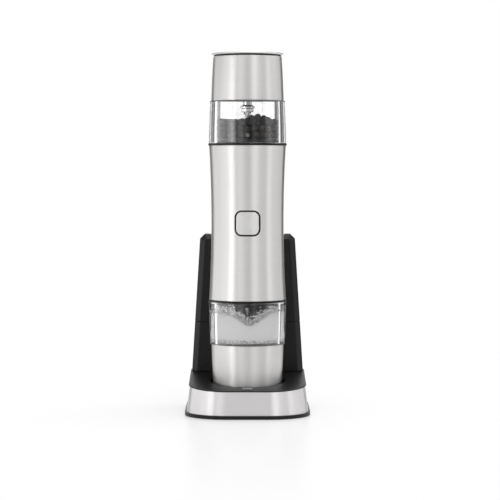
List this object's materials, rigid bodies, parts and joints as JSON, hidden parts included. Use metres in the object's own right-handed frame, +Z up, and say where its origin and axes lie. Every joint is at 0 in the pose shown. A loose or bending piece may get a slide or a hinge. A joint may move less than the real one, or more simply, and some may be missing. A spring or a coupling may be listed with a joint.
{
  "type": "electric salt and pepper mill with charging stand",
  "caption": "Slim double-ended rechargeable salt and pepper mill with a waisted steel body and clear chambers, standing in a dark charging stand with a tapered back rest.",
  "frame": {"origin": "Middle of the stand's footprint, on the table.", "axes": "+Z up along the mill, -Y is the front with the push button, +X is to the right as seen from the front."},
  "size_m": [0.0824, 0.089, 0.2382],
  "materials": {
    "black_plastic": "fine moulded grain",
    "grey_plastic": "plain moulded",
    "clear_plastic": "polished clear",
    "lens_plastic": "frosted clear",
    "socket_plastic": "plain moulded",
    "gear_nylon": "greased nylon",
    "soft_pad": "matt",
    "rubber": "matt",
    "brushed_steel": "brushed stainless",
    "satin_steel": "satin stainless",
    "spring_steel": "bright drawn",
    "screw_steel": "zinc plated",
    "motor_steel": "plated steel",
    "motor_copper": "wound copper",
    "contact_metal": "gold plated",
    "cell_wrap": "shrink sleeve",
    "circuit_board": "lacquered board",
    "burr_ceramic": "unglazed ceramic",
    "peppercorns": "dried peppercorns",
    "salt": "coarse crystals"
  },
  "bodies": {
    "stand": {"base_shell": "black_plastic", "base_trim": "brushed_steel", "base_plate": "black_plastic", "base_feet": "rubber", "stand_screws": "screw_steel", "well_pad": "soft_pad", "back_lower": "black_plastic", "back_upper": "black_plastic", "back_cover": "black_plastic", "contact_spring": "spring_steel", "charge_board": "circuit_board", "dc_socket": "socket_plastic", "indicator_lens": "lens_plastic"},
    "contact_block": {"contact_carrier": "black_plastic", "contact_pins": "contact_metal"},
    "lower_cap": {"lower_cap_plug": "black_plastic", "lower_cap_disc": "satin_steel"},
    "lower_head": {"lower_grinder_housing": "grey_plastic", "lower_head_sleeve": "brushed_steel", "lower_chamber": "clear_plastic", "lower_bearing_bridge": "clear_plastic", "salt_fill": "salt"},
    "lower_grinder": {"lower_rotor_burr": "burr_ceramic", "lower_spindle": "grey_plastic"},
    "lower_fixed_burr": {"lower_stator_burr": "burr_ceramic"},
    "lower_dial": {"lower_adjuster_dial": "black_plastic"},
    "mill_body": {"body_sleeve": "brushed_steel", "motor_frame": "grey_plastic", "upper_gearbox": "black_plastic", "lower_gearbox": "black_plastic", "upper_gear_plate": "grey_plastic", "lower_gear_plate": "grey_plastic", "motor_can": "motor_steel", "battery_cells": "cell_wrap", "control_board": "circuit_board", "button_bezel": "black_plastic", "contact_insert": "black_plastic", "contact_pads": "contact_metal", "upper_o_ring": "rubber", "lower_o_ring": "rubber", "peppercorn_fill": "peppercorns"},
    "motor": {"motor_rotor": "motor_copper", "motor_shaft": "spring_steel"},
    "upper_idler": {"upper_idler": "gear_nylon"},
    "lower_idler": {"lower_idler": "gear_nylon"},
    "upper_drive": {"upper_output_gear": "gear_nylon", "upper_drive_shaft": "spring_steel"},
    "lower_drive": {"lower_output_gear": "gear_nylon", "lower_drive_shaft": "spring_steel"},
    "power_button": {"power_button": "satin_steel"},
    "upper_head": {"upper_grinder_housing": "grey_plastic", "upper_head_sleeve": "brushed_steel", "upper_chamber": "clear_plastic", "upper_bearing_bridge": "clear_plastic"},
    "upper_grinder": {"upper_rotor_burr": "burr_ceramic", "upper_spindle": "grey_plastic"},
    "upper_fixed_burr": {"upper_stator_burr": "burr_ceramic"},
    "upper_dial": {"upper_adjuster_dial": "black_plastic"},
    "upper_cap": {"upper_cap_plug": "black_plastic", "upper_cap_disc": "satin_steel"}
  },
  "joints": [
    {"name": "mill_lift", "type": "slide", "parent": "stand", "child": "lower_cap", "axis": [0, 0, 1], "range_m": [0, 0.13]},
    {"name": "lower_cap_pull", "type": "slide", "parent": "lower_cap", "child": "lower_head", "axis": [0, 0, 1], "range_m": [0, 0.03]},
    {"name": "lower_head_pull", "type": "slide", "parent": "lower_head", "child": "mill_body", "axis": [0, 0, 1], "range_m": [0, 0.065]},
    {"name": "upper_head_pull", "type": "slide", "parent": "mill_body", "child": "upper_head", "axis": [0, 0, 1], "range_m": [0, 0.065]},
    {"name": "upper_cap_pull", "type": "slide", "parent": "upper_head", "child": "upper_cap", "axis": [0, 0, 1], "range_m": [0, 0.03]},
    {"name": "power_button_press", "type": "slide", "parent": "mill_body", "child": "power_button", "axis": [0, 1, 0], "range_m": [0, 0.001], "stiffness_N_per_m": 900, "springref_m": -0.0008},
    {"name": "charging_contact_press", "type": "slide", "parent": "stand", "child": "contact_block", "axis": [0, 1, 0], "range_m": [0, 0.0012], "stiffness_N_per_m": 500, "springref_m": -0.001, "deforming": ["contact_spring"]},
    {"name": "motor_spin", "type": "hinge", "parent": "mill_body", "child": "motor", "pos_m": [0, -0.0045, 0.1264], "axis": [0, 0, 1], "continuous": true},
    {"name": "upper_idler_spin", "type": "hinge", "parent": "mill_body", "child": "upper_idler", "pos_m": [0, 0.0075, 0.1264], "axis": [0, 0, 1], "continuous": true},
    {"name": "lower_idler_spin", "type": "hinge", "parent": "mill_body", "child": "lower_idler", "pos_m": [0, 0.0075, 0.1264], "axis": [0, 0, 1], "continuous": true},
    {"name": "upper_drive_spin", "type": "hinge", "parent": "mill_body", "child": "upper_drive", "pos_m": [0, -0.0045, 0.1264], "axis": [0, 0, 1], "continuous": true},
    {"name": "lower_drive_spin", "type": "hinge", "parent": "mill_body", "child": "lower_drive", "pos_m": [0, -0.0045, 0.1264], "axis": [0, 0, 1], "continuous": true},
    {"name": "upper_burr_spin", "type": "hinge", "parent": "upper_head", "child": "upper_grinder", "pos_m": [0, -0.0045, 0.1264], "axis": [0, 0, 1], "continuous": true},
    {"name": "lower_burr_spin", "type": "hinge", "parent": "lower_head", "child": "lower_grinder", "pos_m": [0, -0.0045, 0.1264], "axis": [0, 0, 1], "continuous": true},
    {"name": "upper_dial_turn", "type": "hinge", "parent": "upper_head", "child": "upper_dial", "pos_m": [0, -0.0045, 0.1264], "axis": [0, 0, 1], "range_deg": [0, 180]},
    {"name": "lower_dial_turn", "type": "hinge", "parent": "lower_head", "child": "lower_dial", "pos_m": [0, -0.0045, 0.1264], "axis": [0, 0, 1], "range_deg": [0, 180]},
    {"name": "upper_burr_gap", "type": "slide", "parent": "upper_head", "child": "upper_fixed_burr", "axis": [0, 0, -1], "range_m": [0, 0.0008]},
    {"name": "lower_burr_gap", "type": "slide", "parent": "lower_head", "child": "lower_fixed_burr", "axis": [0, 0, 1], "range_m": [0, 0.0008]}
  ],
  "couplings": [
    {"joint": "upper_idler_spin", "follows": "motor_spin", "ratio": -0.25},
    {"joint": "lower_idler_spin", "follows": "motor_spin", "ratio": -0.25},
    {"joint": "upper_drive_spin", "follows": "motor_spin", "ratio": 0.0625},
    {"joint": "lower_drive_spin", "follows": "motor_spin", "ratio": 0.0625},
    {"joint": "upper_burr_spin", "follows": "motor_spin", "ratio": 0.0625},
    {"joint": "lower_burr_spin", "follows": "motor_spin", "ratio": 0.0625},
    {"joint": "upper_burr_gap", "follows": "upper_dial_turn", "m_per_rad": 0.00025439},
    {"joint": "lower_burr_gap", "follows": "lower_dial_turn", "m_per_rad": 0.00025439}
  ]
}
